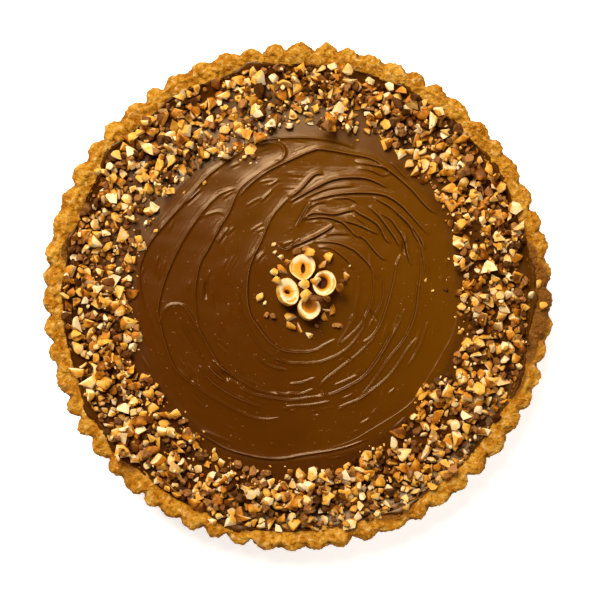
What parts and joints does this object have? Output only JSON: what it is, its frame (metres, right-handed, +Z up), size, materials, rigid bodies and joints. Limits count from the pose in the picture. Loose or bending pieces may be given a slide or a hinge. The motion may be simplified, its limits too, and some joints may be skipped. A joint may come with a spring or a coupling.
{
  "type": "chocolate tart",
  "caption": "Round fluted shortcrust tart filled with swirled chocolate spread, ringed with chopped hazelnuts and chocolate, with halved hazelnuts in the middle.",
  "frame": {"origin": "centre of the flat underside, on the surface that the tart rests on", "axes": "+Z up through the middle of the tart, +Y towards the back, the top of the view from above, +X to the right"},
  "size_m": [0.2488, 0.2488, 0.0313],
  "materials": {
    "shortcrust": "baked shortcrust pastry, matte and sandy",
    "chocolate_spread": "smooth chocolate hazelnut spread, satin gloss",
    "chopped_hazelnut": "chopped roasted hazelnut, dry and matte",
    "hazelnut": "cut hazelnut, smooth and slightly waxy",
    "chopped_chocolate": "chopped milk chocolate, dull and dusty"
  },
  "bodies": {
    "root": {"crust": "shortcrust", "spread": "chocolate_spread", "nut_ring": "chopped_hazelnut", "hazelnut_half_back": "hazelnut", "hazelnut_half_left": "hazelnut", "hazelnut_half_right": "hazelnut", "hazelnut_half_front": "hazelnut"}
  },
  "joints": []
}
